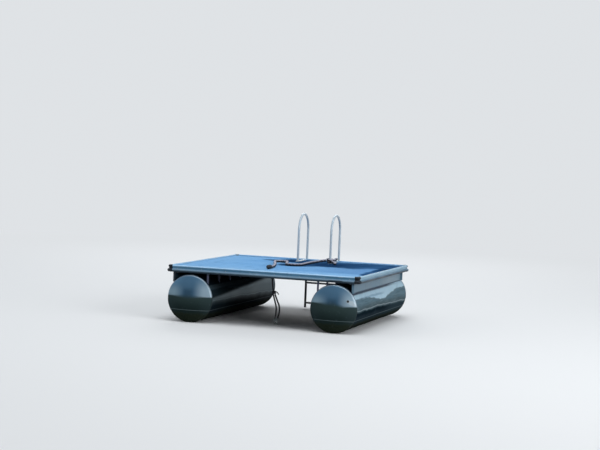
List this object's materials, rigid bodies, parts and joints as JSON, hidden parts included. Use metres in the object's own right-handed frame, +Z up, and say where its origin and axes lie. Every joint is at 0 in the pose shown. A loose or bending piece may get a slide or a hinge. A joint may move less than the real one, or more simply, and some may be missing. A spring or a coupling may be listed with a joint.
{
  "type": "floating swim raft",
  "caption": "Square floating swim raft: a blue decked platform with rub rails on round aluminium pontoons, with a hooped boarding ladder and its lines.",
  "frame": {"origin": "middle of the plan, at the level of the pontoons' undersides", "axes": "+X to the right along the front edge, +Y to the rear where the ladder is, +Z up out of the deck"},
  "size_m": [2.607, 2.756, 1.3859],
  "materials": {
    "pontoon_metal": "weathered mill finish, dark below the waterline",
    "riser_metal": "dull mill finish",
    "frame_metal": "dull mill finish",
    "panel": "weathered plywood",
    "covering": "pale blue outdoor carpet, damp in places",
    "rail_metal": "satin grey blue",
    "cap_rubber": "satin black",
    "ladder_metal": "anodised",
    "rope": "wet black rope",
    "plug_plastic": "matt black"
  },
  "bodies": {
    "root": {"pontoon_left": "pontoon_metal", "pontoon_right": "pontoon_metal", "dome_front_left": "pontoon_metal", "dome_front_right": "pontoon_metal", "dome_rear_left": "pontoon_metal", "dome_rear_right": "pontoon_metal", "air_plug": "plug_plastic", "riser_left_outer": "riser_metal", "riser_left_inner": "riser_metal", "riser_right_inner": "riser_metal", "riser_right_outer": "riser_metal", "joist_front": "frame_metal", "joists_middle": "frame_metal", "joist_rear": "frame_metal", "deck_panels": "panel", "deck_covering": "covering", "rail_front": "rail_metal", "rail_rear": "rail_metal", "rail_left": "rail_metal", "rail_right": "rail_metal", "corner_cap_front_left": "cap_rubber", "corner_cap_front_right": "cap_rubber", "corner_cap_rear_left": "cap_rubber", "corner_cap_rear_right": "cap_rubber", "ladder_tube_left": "ladder_metal", "ladder_tube_right": "ladder_metal", "ladder_step_upper": "ladder_metal", "ladder_step_lower": "ladder_metal", "ladder_base_left": "ladder_metal", "ladder_base_right": "ladder_metal", "ladder_clamp_left": "ladder_metal", "ladder_clamp_right": "ladder_metal", "mooring_eye": "frame_metal", "mooring_line": "rope", "mooring_knot": "rope", "mooring_loop": "rope", "mooring_link": "frame_metal", "deck_line": "rope", "deck_line_end": "rope", "deck_line_knot": "rope", "deck_line_tail_front": "rope", "deck_line_tail_rear": "rope"}
  },
  "joints": []
}
